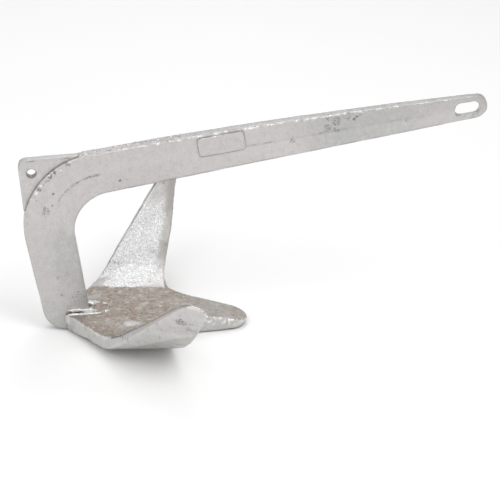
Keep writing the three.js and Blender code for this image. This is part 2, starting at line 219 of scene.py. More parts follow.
# The runs of metal in the corner between leg and palm: points (x, distance out from the leg's side, z)
# and a radius.
BEAD_RUNS = [
    ([(-60, 0.6, 24.6), (-50, 0.8, 25.2), (-42, 0.7, 24.6), (-33, 0.8, 24.2), (-26, 0.6, 22.8)], 2.2),
    ([(-60, 4.2, 21), (-50, 4.8, 21.4), (-40, 4.7, 21.5), (-30, 4.9, 21.8), (-22, 3.6, 21.8)], 2.1),
    ([(-38, 0.2, 24), (-35, -1, 24), (-31, -1.6, 22.6), (-26, 0, 21.8)], 2.3),
    ([(-19, 0.4, 21.8), (-16.5, -0.2, 22.2), (-13.5, -0.4, 21.8)], 1.7),
]
# The run of metal down the palm's rear edge, beside the leg, in the same way.
HEEL_BEAD_PATH = [(-60, 2.2, 22), (-61, 3.8, 17), (-60.5, 3.4, 12.5), (-59, 2.2, 9)]
HEEL_BEAD_RADIUS = 2.8
TUBE_STEPS, TUBE_SIDES = 12, 12

# Marks of dross on the right side of the shank: x, z, radius and strength, in millimetres.
DROSS = [
    (-1, 182, 2.4, 0.62),
    (260, 249, 1.7, 0.9),
    (262.5, 251.5, 1.6, 0.9),
    (232, 251, 7, 0.45),
    (240, 246, 9, 0.44),
    (231, 240, 7, 0.45),
    (240, 237, 6, 0.43),
    (252, 253, 9, 0.40),
    (266, 255, 6, 0.40),
    (-79, 189, 4, 0.60),
    (-74, 193.5, 3, 0.56),
    (-91, 173, 4, 0.5),
    (-87, 179, 3, 0.45),
    (-60, 203, 3, 0.5),
    (-94, 160, 3, 0.5),
    (191, 225, 5, 0.46),
    (320, 246.5, 4, 0.42),
    (168, 217, 2, 0.45),
    (-84, 148, 7, 0.46),
    (-77, 154, 2, 0.6),
    (-76, 168, 2, 0.55),
    (-35, 195, 2, 0.45),
    (-71, 66, 3.5, 0.45),
    (-68, 44, 3, 0.42),
    (-48, 41, 15, 0.39),
    (-60, 70, 6, 0.36),
]
# Marks on the upper face of the palm: x, y, radius and strength. Bare zinc first, then rust.
PALM_ZINC = [
    (9, -46, 9, 1.0),
    (0, -52, 6, 0.7),
    (-29, 30, 9, 0.75),
    (-20, 36, 5, 0.5),
    (21, -7, 4, 0.8),
    (27, 0, 3, 0.6),
    (40, 34, 3, 0.5),
    (-16, -9, 5, 0.8),
    (62, 8, 12, 0.3),
]
PALM_RUST = [
    (-14, 43, 6, 0.9),
    (-12, 28, 6, 0.6),
    (-8, 6, 12, 0.6),
    (-10, -22, 13, 0.7),
    (14, -16, 7, 0.7),
    (-30, -40, 10, 0.5),
    (24, 50, 5, 0.5),
]
# Dross on the outer face of the right fluke: x, y, z, radius and strength.
CLAW_DROSS = [
    (53, -163, 80, 10, 0.48),
    (62, -160, 70, 6, 0.44),
    (-5, -102, 34, 1.6, 1.0),
    (11, -119, 35, 3, 0.40),
    (33, -137, 50, 3, 0.40),
    (70, -159, 63, 4, 0.38),
]
# The parting line shows in the bend and along the outer part of the arm: where each stretch starts and
# ends in x, and how strong it is.
SEAM_STRETCHES = [(-70, -22, 1.0), (134, 232, 0.6), (232, 345, 0.4)]

# ---- Small helpers ----


def lerp(a, b, t):
    return a + (b - a) * t


def on_circle(centre, radius, angle):
    return (centre[0] + radius * math.cos(angle), centre[1] + radius * math.sin(angle))


def new_object(name, points, faces):
    mesh = bpy.data.meshes.new(name)
    mesh.from_pydata([tuple(p) for p in points], [], faces)
    mesh.update()
    piece = bpy.data.objects.new(name, mesh)
    bpy.context.scene.collection.objects.link(piece)
    return piece


def loft(name, rings):
    """A closed solid through rings of equally many points."""
    count = len(rings[0])
    points = [p for ring in rings for p in ring]
    faces = []
    for r in range(len(rings) - 1):
        for i in range(count):
            here, following = r * count + i, r * count + (i + 1) % count
            faces.append((here, following, following + count, here + count))
    last = (len(rings) - 1) * count
    faces.append(tuple(reversed(range(count))))
    faces.append(tuple(range(last, last + count)))
    piece = new_object(name, points, faces)
    face_outwards(piece)
    return piece


def face_outwards(piece):
    work = bmesh.new()
    work.from_mesh(piece.data)
    bmesh.ops.recalc_face_normals(work, faces=work.faces)
    work.to_mesh(piece.data)
    work.free()


def side_plate(name, outline, half, mid=0.0):
    """An outline of (x, z) points made into a plate centred on y = mid."""
    rings = [[(x, mid + y, z) for x, z in outline] for y in (-half, half)]
    return loft(name, rings)


def arc(centre, radius, start, end, steps):
    return [on_circle(centre, radius, lerp(start, end, i / steps)) for i in range(steps + 1)]


def bake_modifiers(piece):
    graph = bpy.context.evaluated_depsgraph_get()
    graph.update()
    made = bpy.data.meshes.new_from_object(piece.evaluated_get(graph))
    piece.modifiers.clear()
    old = piece.data
    piece.data = made
    bpy.data.meshes.remove(old)


def cut(piece, cutter):
    step = piece.modifiers.new("cut", "BOOLEAN")
    step.operation = "DIFFERENCE"
    step.solver = "EXACT"
    step.object = cutter
    bake_modifiers(piece)
    bpy.data.objects.remove(cutter)


def join(name, parts):
    """One mesh holding the parts' meshes, which may run into each other."""
    points, faces = [], []
    for part in parts:
        start = len(points)
        points += [v.co.copy() for v in part.data.vertices]
        faces += [tuple(start + i for i in f.vertices) for f in part.data.polygons]
        bpy.data.objects.remove(part)
    return new_object(name, points, faces)


def catmull_rom(rows, steps):
    """Rows of numbers made dense along a smooth curve through each."""
    rows = np.array(rows, float)
    padded = np.vstack([2 * rows[0] - rows[1], rows, 2 * rows[-1] - rows[-2]])
    dense = []
    for i in range(len(rows) - 1):
        p0, p1, p2, p3 = padded[i : i + 4]
        for t in np.linspace(0, 1, steps, endpoint=False):
            dense.append(
                0.5
                * (
                    2 * p1
                    + (p2 - p0) * t
                    + (2 * p0 - 5 * p1 + 4 * p2 - p3) * t**2
                    + (3 * p1 - p0 - 3 * p2 + p3) * t**3
                )
            )
    dense.append(rows[-1])
    return np.array(dense)


def nearest(columns, places):
    """Each point's distance from the nearest place, given the points as columns of coordinates."""
    squared = np.full(len(columns[0]), np.inf)
    for place in places:
        squared = np.minimum(squared, sum((column - at) ** 2 for column, at in zip(columns, place)))
    return np.sqrt(squared)


# ---- Skin: fuse, even out, roughen ----

# The sizes of the unevenness in a surface: waves, ripples, lumps and the drips on its edges.
WAVE_SIZE, RIPPLE_SIZE, LUMP_SIZE, DRIP_SIZE = 22, 9, 3.6, 2.6
TONE_SIZE = 50
OUTER_EDGE = (0.08, 0.18)  # how far a point stands out, in mm
INNER_CORNER = (0.03, 0.12)


class Skin:
    """The points and neighbours of a dense mesh, for work on all of its points at once."""

    def __init__(self, mesh):
        self.mesh = mesh
        count = len(mesh.vertices)
        flat = np.empty(count * 3, np.float32)
        mesh.vertices.foreach_get("co", flat)
        self.points = flat.reshape(-1, 3).astype(float)
        ends = np.empty(len(mesh.edges) * 2, np.int32)
        mesh.edges.foreach_get("vertices", ends)
        self.a, self.b = ends.reshape(-1, 2).T
        self.degree = np.bincount(self.a, minlength=count) + np.bincount(self.b, minlength=count)
        self.edge = np.zeros(count)
        self.layers = {}

    def neighbour_mean(self, values):
        total = np.zeros_like(values)
        np.add.at(total, self.a, values[self.b])
        np.add.at(total, self.b, values[self.a])
        degree = self.degree if values.ndim == 1 else self.degree[:, None]
        return total / np.maximum(degree, 1)

    def relax(self, steps, share=0.5):
        for _ in range(steps):
            self.points += share * (self.neighbour_mean(self.points) - self.points)

    def normals(self):
        self.store()
        flat = np.empty(len(self.points) * 3, np.float32)
        self.mesh.vertices.foreach_get("normal", flat)
        return flat.reshape(-1, 3).astype(float)

    def curvature(self, blur):
        """How far each point stands out from its neighbours' mean, in mm, blurred over some steps."""
        pull = self.neighbour_mean(self.points) - self.points
        value = -np.einsum("ij,ij->i", pull, self.normals())
        for _ in range(blur):
            value = 0.5 * (value + self.neighbour_mean(value))
        return value

    def raise_by(self, heights):
        self.points += self.normals() * heights[:, None]
        self.store()

    def patchy(self, size, seed, low, high):
        """From 0 to 1 in soft patches of about the given size."""
        return smoothstep(low, high, field(self.points, size, seed))

    def spots(self, marks, ragged, axes=(0, 1)):
        """Ragged round patches at the marks, each a place, a radius and a strength."""
        wobble = 1 + 0.5 * ragged
        patch = np.zeros(len(self.points))
        for *place, radius, strength in marks:
            distance = np.linalg.norm(self.points[:, axes] - place, axis=1) * wobble
            patch = np.maximum(patch, strength * smoothstep(1.25 * radius, 0.5 * radius, distance))
        return patch

    def deepen(self, name, values):
        self.layers[name] = np.maximum(self.layers.get(name, 0), values)

    def store(self):
        self.mesh.vertices.foreach_set("co", self.points.astype(np.float32).ravel())
        self.mesh.update()

    def store_layers(self):
        """Each layer becomes a float attribute that the materials read."""
        for name, values in self.layers.items():
            made = self.mesh.attributes.new(name, "FLOAT", "POINT")
            made.data.foreach_set("value", np.asarray(values, np.float32))
        self.mesh.polygons.foreach_set("use_smooth", [True] * len(self.mesh.polygons))


def field(points, size, seed):
    """Smooth noise from -1 to 1, with lumps of about the given size, in millimetres."""
    shift = Vector((seed * 17.3, seed * -9.1, seed * 5.7))
    return np.array([noise.noise(Vector(p) / size + shift) for p in points])


def smoothstep(low, high, value):
    t = np.clip((value - low) / (high - low), 0, 1)
    return t * t * (3 - 2 * t)


def casting_skin(piece, voxel, rounding, waviness, lumps, seed):
    """Fuses the piece's solids into one dense skin with round edges and a slightly uneven surface."""
    remesh = piece.modifiers.new("fuse", "REMESH")
    remesh.mode = "VOXEL"
    remesh.voxel_size = voxel
    bake_modifiers(piece)
    skin = Skin(piece.data)
    skin.relax(rounding)
    skin.edge = skin.curvature(3)
    rise = waviness * field(skin.points, WAVE_SIZE, seed)
    rise += 0.5 * waviness * field(skin.points, RIPPLE_SIZE, seed + 1)
    rise += lumps * field(skin.points, LUMP_SIZE, seed + 2)
    # The outer edges: they take drips of metal here, and a painted highlight in the material.
    painted_highlight = smoothstep(*OUTER_EDGE, skin.edge)
    drips = np.clip(field(skin.points, DRIP_SIZE, seed + 3) - 0.05, 0, 1)
    rise += painted_highlight * drips * 4 * lumps
    skin.raise_by(rise)
    # Painted highlight along the outer edges, broken in patches.
    skin.layers["painted_highlight"] = painted_highlight * skin.patchy(5, seed + 4, -0.25, 0.15)
    # Painted shade in the inner corners.
    skin.layers["painted_shade"] = smoothstep(*INNER_CORNER, -skin.edge)
    # Painted shade on faces turned down.
    skin.layers["painted_face_shade"] = smoothstep(-0.5, -0.72, skin.normals()[:, 2])
    skin.layers["tone"] = 0.6 + 0.7 * field(skin.points, TONE_SIZE, 14)
    return skin


def finish_piece(piece, skin, nodes, material):
    """Stores the skin, moves the mesh into the part's frame, gives it its material, hangs it on the root
    body and hides the CAD nodes it stands for.
    """
    skin.store_layers()
    piece.data.transform(Matrix.Scale(MM, 4) @ Matrix.Translation(SHIFT))
    piece.data.materials.clear()
    piece.data.materials.append(material)
    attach(piece, "root")
    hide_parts(*nodes)
    return piece


# ---- Shank ----

STRAIGHT_DOWN = 1.5 * math.pi
ROUND_END_STEPS, ARM_STEPS, BEND_STEPS, FOOT_STEPS = 14, 120, 60, 20
ROUND_END_GAP = 2.0  # the arm's rings stop this far before the eye's round end
CUTTER_HALF = 20.0
ARM_FLOOR = 190.0  # the arm's top is all above this
TOP_START = on_circle(BEND_CENTRE_OUTER, BEND_RADIUS_OUTER, BEND_END_OUTER)
UNDER_START = on_circle(BEND_CENTRE_INNER, BEND_RADIUS_INNER, BEND_END_INNER)


def shank_ring(outer, inner, half):
    """Six points round the shank: widest at mid depth, narrower by the draft at both edges."""
    narrow = half - DRAFT
    middle = ((outer[0] + inner[0]) / 2, (outer[1] + inner[1]) / 2)
    return [
        (outer[0], -narrow, outer[1]),
        (outer[0], narrow, outer[1]),
        (middle[0], half, middle[1]),
        (inner[0], narrow, inner[1]),
        (inner[0], -narrow, inner[1]),
        (middle[0], -half, middle[1]),
    ]


def top_point(t):
    a, b, c = (1 - t) ** 2, 2 * t * (1 - t), t**2
    return tuple(a * TOP_START[i] + b * TOP_CROWN[i] + c * TOP_END[i] for i in (0, 1))


def top_height(x):
    return top_point((x - TOP_START[0]) / (TOP_END[0] - TOP_START[0]))[1]


def under_height(x):
    share = (x - UNDER_START[0]) / (UNDERSIDE_END[0] - UNDER_START[0])
    return lerp(UNDER_START[1], UNDERSIDE_END[1], share)


def arm_half(x):
    """The arm thins evenly, and its last stretch eases into the flat cheeks of the eye."""
    even = lerp(BEND_HALF, EYE_HALF, (x - TOP_START[0]) / (TOP_END[0] - TOP_START[0]))
    return lerp(even, EYE_HALF, float(smoothstep(*CHEEK_EASE, x)))


def round_end_rings(tail):
    """The eye's round end, from its tip back to x = tail."""
    top_centre = top_height(tail) - EYE_CORNER / math.cos(SLOT_TILT)
    low_centre = under_height(tail) + EYE_CORNER / math.cos(SLOT_TILT)
    rings = []
    for i in range(ROUND_END_STEPS):
        angle = math.pi / 2 * i / ROUND_END_STEPS
        x = tail + EYE_CORNER * math.cos(angle)
        rise = EYE_CORNER * math.sin(angle)
        tilt = (x - tail) * math.tan(SLOT_TILT) * math.sin(angle)
        rings.append(shank_ring((x, top_centre + rise + tilt), (x, low_centre - rise + tilt), EYE_HALF))
    return rings


def arm_rings(tail):
    rings = []
    for i in range(ARM_STEPS):
        t = 1 - i / ARM_STEPS
        top = top_point(t)
        inner_x = lerp(UNDER_START[0], UNDERSIDE_END[0], t)
        if max(top[0], inner_x) <= tail - ROUND_END_GAP:
            rings.append(shank_ring(top, (inner_x, under_height(inner_x)), arm_half(top[0])))
    return rings


def bend_rings():
    rings = []
    for i in range(BEND_STEPS + 1):
        t = i / BEND_STEPS
        outer = on_circle(BEND_CENTRE_OUTER, BEND_RADIUS_OUTER, lerp(BEND_END_OUTER, LEG_ANGLE_OUTER, t))
        inner = on_circle(BEND_CENTRE_INNER, BEND_RADIUS_INNER, lerp(BEND_END_INNER, LEG_ANGLE_INNER, t))
        rings.append(shank_ring(outer, inner, lerp(BEND_HALF, LEG_HALF, t)))
    return rings


def foot_rings():
    """The foot of the leg, round at the heel, with its front running down into the palm."""
    rings = []
    for i in range(FOOT_STEPS + 1):
        t = i / FOOT_STEPS
        outer = on_circle(HEEL_CENTRE, HEEL_RADIUS, lerp(LEG_ANGLE_OUTER, STRAIGHT_DOWN, t))
        inner = tuple(lerp(a, b, t) for a, b in zip(LEG_FRONT_FOOT, LEG_FRONT_BOTTOM))
        rings.append(shank_ring(outer, inner, LEG_HALF))
    return rings


def shank_rings():
    tail = EYE_END_X - EYE_CORNER
    return round_end_rings(tail) + arm_rings(tail) + bend_rings() + foot_rings()


def slot_outline():
    radius = SLOT_HEIGHT / 2
    reach = SLOT_LENGTH / 2 - radius
    loop = arc((reach, 0), radius, -math.pi / 2, math.pi / 2, 16)
    loop += arc((-reach, 0), radius, math.pi / 2, STRAIGHT_DOWN, 16)
    c, s = math.cos(SLOT_TILT), math.sin(SLOT_TILT)
    return [(SLOT_CENTRE[0] + x * c - z * s, SLOT_CENTRE[1] + x * s + z * c) for x, z in loop]


def seam_line(rings):
    """Points (x, z) close together along the middle of the shank's side."""
    middles = [(ring[2][0], ring[2][2]) for ring in rings]
    steps = 4
    line = []
    for (ax, az), (bx, bz) in zip(middles, middles[1:]):
        line += [(lerp(ax, bx, k / steps), lerp(az, bz, k / steps)) for k in range(steps)]
    return line


def mark_seam(skin, rings):
    """A thin broken ridge along the parting line, at mid depth on both sides."""
    x, y, z = skin.points.T
    strength = np.zeros(len(x))
    for start, end, share in SEAM_STRETCHES:
        inside = smoothstep(start - 4, start + 4, x) * smoothstep(end + 6, end - 6, x)
        strength = np.maximum(strength, share * inside)
    strength *= smoothstep(*SEAM_FLOOR, z)
    gap = np.abs(nearest((x, z), seam_line(rings)) + SEAM_WANDER * field(skin.points, 5, 28))
    broken = skin.patchy(9, 7, -0.25, 0.25) * skin.patchy(2.5, 27, -0.3, 0.1)
    sides = smoothstep(0.7, 0.95, np.abs(skin.normals()[:, 1]))
    seam = smoothstep(1.7, 0.4, gap) * sides * strength * (0.25 + 0.75 * broken)
    skin.raise_by(SEAM_HEIGHT * seam)
    skin.layers["seam"] = seam


def mark_dross(skin):
    """Dark marks of dross, on the right side only."""
    ragged = field(skin.points, 3, 8) + 0.8 * field(skin.points, 7, 29)
    right_side = skin.points[:, 1] < -3
    skin.layers["dross"] = skin.spots(DROSS, ragged, axes=(0, 2)) * right_side


def plate_gap(skin):
    """Distance of each point from the weight plate's edge, negative inside it."""
    x = skin.points[:, 0] - PLATE_CENTRE[0]
    z = skin.points[:, 2] - PLATE_CENTRE[1]
    c, s = math.cos(PLATE_TILT), math.sin(PLATE_TILT)
    along, up = np.abs(x * c + z * s), np.abs(z * c - x * s)
    past_x = along - PLATE_SIZE[0] / 2 + PLATE_CORNER
    past_z = up - PLATE_SIZE[1] / 2 + PLATE_CORNER
    outside = np.hypot(np.maximum(past_x, 0), np.maximum(past_z, 0))
    return outside + np.minimum(np.maximum(past_x, past_z), 0) - PLATE_CORNER


def flaky_top(skin):
    """Zinc stands in raised flakes on the top of the arm, next to the bend: they get a painted highlight,
    and dark flecks of dross lie among them.
    """
    x, y, z = skin.points.T
    up = smoothstep(0.5, 0.8, skin.normals()[:, 2])
    zone = up * smoothstep(*FLAKES_START, x) * smoothstep(*FLAKES_END, x) * (z > ARM_FLOOR)
    flakes = skin.patchy(3.2, 9, 0.1, 0.4)
    skin.raise_by(FLAKE_HEIGHT * zone * flakes)
    skin.deepen("painted_highlight", 0.6 * zone * flakes)
    skin.deepen("dross", 0.55 * zone * skin.patchy(2.6, 10, 0.1, 0.4))


def outline_shank(skin):
    """Painted shade: dark lines on the far top edge, near lower edge and eye, and the top, leg and outer
    arm darker. Painted highlight: a bright near top edge.
    """
    x, y, z = skin.points.T
    facing_up = skin.normals()[:, 2]
    shoulder = smoothstep(0.05, 0.12, skin.edge)
    along = np.linspace(TOP_START[0], EYE_END_X, 60)
    half = np.interp(x, along, [arm_half(at) for at in along]) - DRAFT
    tops = np.interp(x, along, [top_height(at) for at in along])
    top_face = smoothstep(0.3, 0.6, facing_up) * (z > ARM_FLOOR)
    far_top = np.maximum(smoothstep(2.2, 1.0, half - y) * top_face, shoulder * (y > 4) * (facing_up > 0))
    near_low = shoulder * smoothstep(-3, -5, y) * (facing_up < -0.1)
    low_band = smoothstep(2.4, 1.0, z - under_height(x)) * (y < -3) * smoothstep(*LOW_LINE_START, x)
    near_low = np.maximum(near_low, low_band)
    eye_rim = shoulder * smoothstep(*EYE_RIM_START, x) * (y < 0)
    skin.layers["painted_highlight"] *= 1 - np.maximum(far_top, near_low)
    # Painted highlight: a bright broken line along the near top edge, dimmer further out.
    near_top = smoothstep(1.9, 0.9, np.hypot(y + half, z - tops))
    lit = skin.patchy(5, 25, -0.25, 0.1) * smoothstep(*GLINT_START, x) * smoothstep(*GLINT_END, x)
    skin.deepen("painted_highlight", (1 - 0.35 * smoothstep(*GLINT_DIMS, x)) * near_top * lit)
    # Painted shade: dark lines along the far top edge, the near lower edge and the eye's rim, the arm's
    # top darker, and the leg and outer arm darker.
    skin.deepen("painted_shade", 0.75 * far_top * skin.patchy(14, 15, -0.3, 0.1))
    skin.deepen("painted_shade", 0.55 * near_low * skin.patchy(20, 20, -0.3, 0.1))
    skin.deepen("painted_shade", 0.7 * eye_rim * skin.patchy(7, 24, -0.2, 0.2))
    skin.deepen("painted_shade", TOP_SHADE * top_face * smoothstep(*TOP_SHADE_START, x))
    side_shade = np.maximum(smoothstep(*LEG_SHADE_START, z), smoothstep(*ARM_SHADE_START, x))
    skin.deepen("painted_shade", SIDE_SHADE * side_shade)


def groove_round_plate(skin):
    """A shallow groove along the weight plate's edge, painted dark as shade in it."""
    groove = smoothstep(1.3, 0.3, np.abs(plate_gap(skin) - 0.5)) * (skin.points[:, 1] < 0)
    skin.raise_by(-GROOVE_DEPTH * groove)
    skin.deepen("painted_shade", groove * (0.5 + 0.5 * field(skin.points, 12, 13)))


def chip_bend(skin):
    """Dark and bright chips beside the step between the bend and the web, painted as shade and as
    highlight.
    """
    x, y, z = skin.points.T
    from_centre = np.hypot(x - BEND_CENTRE_OUTER[0], z - BEND_CENTRE_OUTER[1])
    chips = smoothstep(3.2, 1.2, np.abs(from_centre - BEND_RADIUS_OUTER + 2.5))
    chips *= (x < CHIPS_END) * (z > CHIPS_FLOOR) * (y < -4)
    skin.deepen("painted_shade", 0.5 * chips * skin.patchy(5, 16, 0.15, 0.35))
    skin.deepen("painted_highlight", 0.9 * chips * skin.patchy(4, 17, 0.15, 0.35))


def build_shank(material):
    rings = shank_rings()
    shank = loft("shank", rings)
    cut(shank, side_plate("slot_cutter", slot_outline(), CUTTER_HALF))
    skin = casting_skin(shank, voxel=1.05, rounding=3, waviness=0.2, lumps=0.08, seed=1)
    mark_seam(skin, rings)
    mark_dross(skin)
    flaky_top(skin)
    outline_shank(skin)
    groove_round_plate(skin)
    chip_bend(skin)
    x, y, z = skin.points.T
    skin.layers["tone"] += 0.4 * smoothstep(*LIGHT_TONE_END, x) - 0.6 * smoothstep(*DARK_TONE_START, z)
    nodes = ["shank_arm", "shackle_eye", "shank_bend", "shank_leg"]
    return finish_piece(shank, skin, nodes, material)


# ---- Web, plate, beads ----


def web_outline():
    """The arc that lies inside the bend, then the web's foot, its round corner and its head."""
    x, z = BEND_CENTRE_OUTER
    foot = math.pi - math.asin((WEB_FOOT[1] - z) / BEND_RADIUS_OUTER)
    head = math.acos((WEB_HEAD[0] - x) / BEND_RADIUS_OUTER)
    corner = Vector(WEB_CORNER)
    start = corner + (Vector(WEB_FOOT) - corner).normalized() * WEB_CORNER_RADIUS
    end = corner + (Vector(WEB_HEAD) - corner).normalized() * WEB_CORNER_RADIUS
    outline = arc((x, z), BEND_RADIUS_OUTER - WEB_OVERLAP, head, foot, 24)
    outline.append(WEB_FOOT)
    for i in range(CORNER_STEPS + 1):
        t = i / CORNER_STEPS
        outline.append(tuple((1 - t) ** 2 * start + 2 * t * (1 - t) * corner + t * t * end))
    outline.append(WEB_HEAD)
    return outline


def line_web(skin):
    """Painted shade as dark lines where the web meets the bend, under its top edge, round its corner and
    round its hole; dross towards the web's corner.
    """
    x, y, z = skin.points.T
    from_bend = np.hypot(x - BEND_CENTRE_OUTER[0], z - BEND_CENTRE_OUTER[1]) - BEND_RADIUS_OUTER
    skin.deepen("painted_shade", smoothstep(1.9, 0.5, from_bend) * (0.6 + 0.4 * field(skin.points, 6, 12)))
    share = (x - WEB_CORNER[0]) / (WEB_HEAD[0] - WEB_CORNER[0])
    top_line = lerp(WEB_CORNER[1], WEB_HEAD[1], share) - WEB_LINE_DROP
    below_top = smoothstep(1.1, 0.4, np.abs(z - top_line)) * (y < 0) * (x > WEB_LINE_START)
    skin.deepen("painted_shade", 0.6 * below_top * skin.patchy(7, 18, -0.1, 0.15))
    skin.deepen("painted_shade", 0.6 * smoothstep(0.06, 0.14, skin.edge) * (y > -2) * (x < WEB_RIM_END))
    skin.deepen("dross", 0.42 * skin.patchy(6, 26, 0.1, 0.3) * smoothstep(*WEB_DROSS_START, x))
    rim = np.hypot(x - TRIP_HOLE[0], z - TRIP_HOLE[1]) - TRIP_HOLE_RADIUS
    skin.deepen("painted_shade", smoothstep(1.5, 0.5, rim) * (0.75 + 0.25 * field(skin.points, 4, 19)))


def build_web(material):
    web = side_plate("trip_line_web", web_outline(), WEB_HALF)
    hole = arc(TRIP_HOLE, TRIP_HOLE_RADIUS, 0, 2 * math.pi, 40)[:-1]
    cut(web, side_plate("hole_cutter", hole, CUTTER_HALF))
    skin = casting_skin(web, voxel=0.7, rounding=4, waviness=0.2, lumps=0.08, seed=11)
    line_web(skin)
    return finish_piece(web, skin, ["trip_line_web"], material)


def rounded_rectangle(length, height, radius):
    x, z = length / 2 - radius, height / 2 - radius
    loop = []
    for i, (cx, cz) in enumerate([(x, z), (-x, z), (-x, -z), (x, -z)]):
        loop += arc((cx, cz), radius, i * math.pi / 2, (i + 1) * math.pi / 2, 6)
    return loop


def build_plate(material):
    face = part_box("weight_plate")[0].y / MM
    outline = rounded_rectangle(*PLATE_SIZE, PLATE_CORNER)
    plate = side_plate("weight_plate", outline, PLATE_HALF)
    plate.data.transform(Matrix.Rotation(-PLATE_TILT, 4, "Y"))
    plate.data.transform(Matrix.Rotation(-PLATE_LEAN, 4, "X"))
    plate.data.transform(Matrix.Translation((PLATE_CENTRE[0], face + PLATE_INSET, PLATE_CENTRE[1])))
    skin = casting_skin(plate, voxel=0.45, rounding=3, waviness=0.2, lumps=0.1, seed=21)
    # A painted highlight along the plate's top edge, broken in patches.
    top_edge = smoothstep(-1.6, -0.4, plate_gap(skin)) * smoothstep(0.2, 0.6, skin.normals()[:, 2])
    skin.layers["painted_highlight"] = top_edge * skin.patchy(4, 23, -0.1, 0.2)
    return finish_piece(plate, skin, ["weight_plate"], material)


def tube_size(t, radius, phase):
    """The radius at a share t of a run's length: lumpy, and tapering at both ends."""
    lump = 1 + 0.10 * math.sin(13 * t + phase) + 0.07 * math.sin(31 * t + 2 * phase)
    return radius * lump * float(0.5 + 0.5 * smoothstep(0, 0.15, t) * smoothstep(1, 0.8, t))


def lumpy_tube(name, path, radius, phase):
    """A run of metal through the path's points, thick and thin by turns."""
    dense = [Vector(p) for p in catmull_rom(path, TUBE_STEPS)]
    last = len(dense) - 1
    across = (dense[1] - dense[0]).orthogonal().normalized()
    rings = []
    for i, centre in enumerate(dense):
        size = tube_size(i / last, radius, phase)
        ahead = (dense[min(i + 1, last)] - dense[max(i - 1, 0)]).normalized()
        across = (across - ahead * across.dot(ahead)).normalized()
        above = ahead.cross(across)
        angles = [2 * math.pi * k / TUBE_SIDES for k in range(TUBE_SIDES)]
        rings.append([centre + size * (math.cos(a) * across + math.sin(a) * above) for a in angles])
    return loft(name, rings)


def build_bead(side, material):
    """A lumpy run of metal in the corner between the leg and the palm."""
    name = "foot_bead_left" if side > 0 else "foot_bead_right"
    parts = []
    for number, (path, radius) in enumerate(BEAD_RUNS):
        run = [(px, side * (LEG_HALF + out), pz) for px, out, pz in path]
        parts.append(lumpy_tube("run", run, radius, side + 2 * number))
    bead = join(name, parts)
    skin = casting_skin(bead, voxel=0.5, rounding=3, waviness=0.15, lumps=0.08, seed=31 + side)
    return finish_piece(bead, skin, [name], material)


# ---- Claw ----


def ridge_point(number, low_rear, low_front, down):
    """The ridge on a side fluke's outer face, at this station number."""
    ridge_at, ridge_across = np.array(RIDGE_PATH).T
    across = np.interp(number, ridge_at, ridge_across)
    bulge = RIDGE_HEIGHT * min(1, 5 * across * (1 - across))
    return low_rear + (low_front - low_rear) * across + down * bulge


def upper_points(number, rear, front, down):
    """Points across the upper surface, which swells a little above the straight line."""
    swell_at, swell_height = np.array(SWELL).T
    swell = np.interp(number, swell_at, swell_height)
    shares = [k / (SWELL_POINTS + 1) for k in range(1, SWELL_POINTS + 1)]
    return [lerp(rear, front, share) - down * swell * 4 * share * (1 - share) for share in shares]


def claw_rings(mirror):
    """Rings from the middle of the palm to the tip of one side fluke."""
    stations = CLAW_STATIONS[:-1] + [LEFT_TIP] if mirror > 0 else CLAW_STATIONS
    rows = [(*rear, *front, *thick) for rear, front, thick in stations]
    dense = catmull_rom(rows, STEPS)
    rear, front, thick = dense[:, 0:3], dense[:, 3:6], dense[:, 6:8]
    rings = []
    last = len(dense) - 1
    for i in range(len(dense)):
        before, after = max(i - 3, 0), min(i + 3, last)
        outwards = rear[after] + front[after] - rear[before] - front[before]
        down = np.cross(outwards, front[i] - rear[i])
        down[0] = min(down[0], 0)
        down /= np.linalg.norm(down)
        low_rear = rear[i] + down * thick[i][0]
        low_front = front[i] + down * thick[i][1]
        upper = upper_points(i / STEPS, rear[i], front[i], down)
        ridge = ridge_point(i / STEPS, low_rear, low_front, down)
        ring = [rear[i], *upper, front[i], low_front, ridge, low_rear]
        rings.append([(p[0], p[1] * mirror, p[2]) for p in ring])
    return rings


def centre_rings():
    """Rings along the centre fluke, flaring towards its lower face."""
    rings = []
    for x, half, top, bottom in catmull_rom(CENTRE_STATIONS, CENTRE_STEPS):
        wide = half + CENTRE_FLARE * min(1, half / 20)
        side, base = bottom + CENTRE_CHAMFER[1], wide - CENTRE_CHAMFER[0]
        section = [(-half, top), (half, top), (wide, side), (base, bottom), (-base, bottom), (-wide, side)]
        rings.append([(x, y, z) for y, z in section])
    return rings


def heel_bead(side):
    """Down the corner between the leg and the palm's rear edge."""
    return [(x, side * (LEG_HALF + out), z) for x, out, z in HEEL_BEAD_PATH]


def mark_palm(skin, ragged):
    """The scoured palm, with its bare and rusty patches. Gives back how scoured each point is."""
    x, y, z = skin.points.T
    facing_up = skin.normals()[:, 2]
    # The scoured part ends at a line from the palm's rear corner to the notch beside the centre fluke.
    line = np.where(y > 0, SCOURED_LEFT - SCOURED_TAPER * x, SCOURED_RIGHT)
    line += 2.5 * field(skin.points, 9, 45)
    inside = smoothstep(1.5, -1.5, np.abs(y) - np.where(x > NOTCH_X, NOTCH_WIDTH, line))
    scoured = smoothstep(0.6, 0.93, facing_up) * smoothstep(*SCOURED_TOP, z) * inside
    upper = smoothstep(0.4, 0.7, facing_up) * smoothstep(*PATCHES_TOP, z)
    zinc = skin.spots(PALM_ZINC, ragged) * upper
    fading = 1 - 0.35 * smoothstep(*SCOURING_FADES, x)
    skin.layers["scoured"] = scoured * (1 - 0.8 * zinc) * fading
    skin.layers["rust"] = skin.spots(PALM_RUST, ragged) * upper
    return scoured


